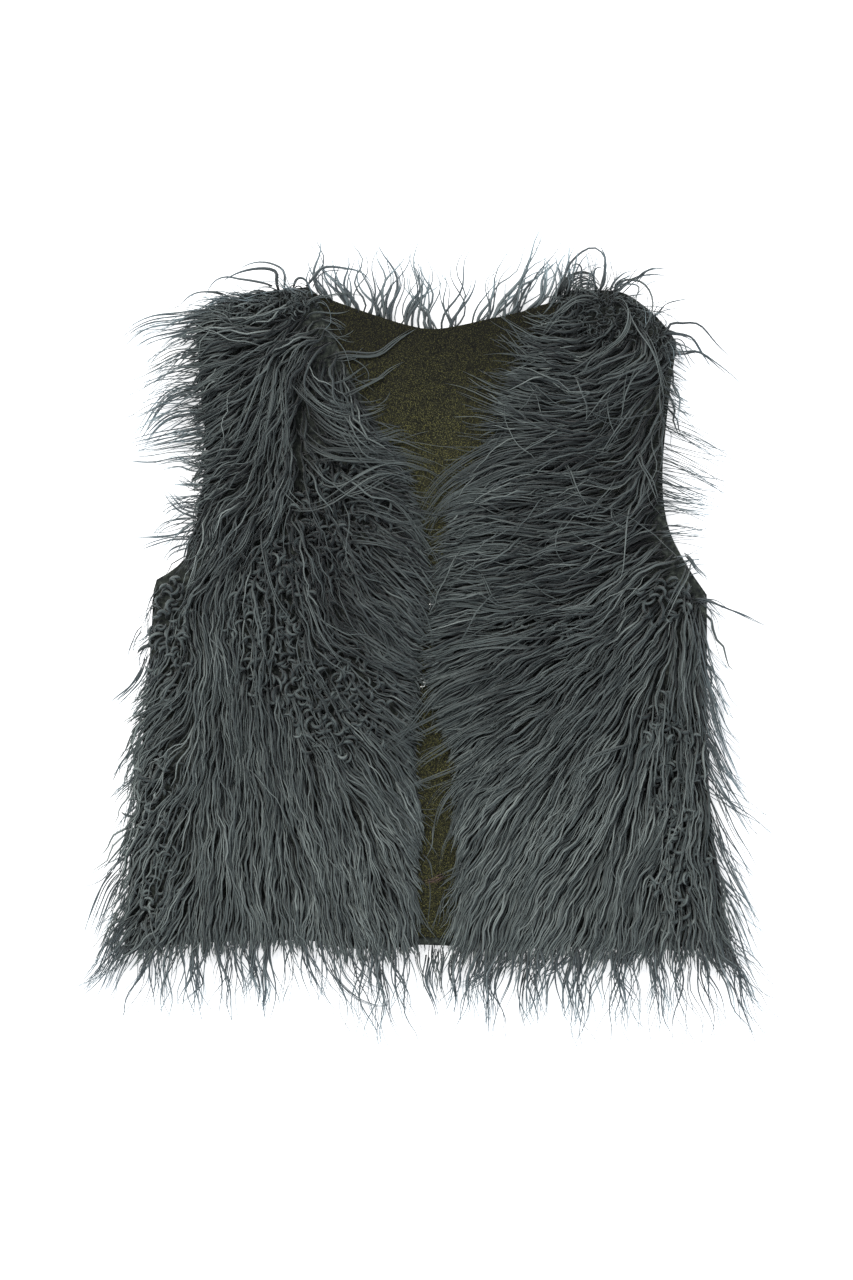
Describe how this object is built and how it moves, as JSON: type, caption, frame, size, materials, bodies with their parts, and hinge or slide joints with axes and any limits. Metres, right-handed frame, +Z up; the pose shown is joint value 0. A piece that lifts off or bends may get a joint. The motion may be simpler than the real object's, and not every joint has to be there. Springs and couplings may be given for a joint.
{
  "type": "faux fur vest",
  "caption": "Open-front sleeveless faux fur vest with long wavy pile and a flecked lining, lying flat on its back.",
  "frame": {"origin": "on the underside of the back, under the middle of the whole vest with its fur tips", "axes": "+Z up from the surface it lies on, +Y from the hem to the neck, +X across to the viewer's right"},
  "size_m": [0.4178, 0.4759, 0.0275],
  "materials": {
    "faux_fur": "long wavy acrylic pile on a knit backing",
    "lining": "plain woven cloth with fine metallic flecks",
    "closure_wire": "nickel-plated wire"
  },
  "bodies": {
    "root": {"back_fur": "faux_fur", "back_lining": "lining", "front_left_fur": "faux_fur", "front_right_fur": "faux_fur", "left_hem_locks": "faux_fur", "right_hem_locks": "faux_fur", "left_side_locks": "faux_fur", "right_side_locks": "faux_fur", "left_armhole_locks": "faux_fur", "right_armhole_locks": "faux_fur", "left_shoulder_locks": "faux_fur", "right_shoulder_locks": "faux_fur", "neck_locks": "faux_fur", "left_v_locks": "faux_fur", "right_v_locks": "faux_fur", "left_gap_locks": "faux_fur", "right_gap_locks": "faux_fur", "eye_upper": "closure_wire", "eye_lower": "closure_wire", "hook_upper": "closure_wire", "hook_lower": "closure_wire"}
  },
  "joints": []
}
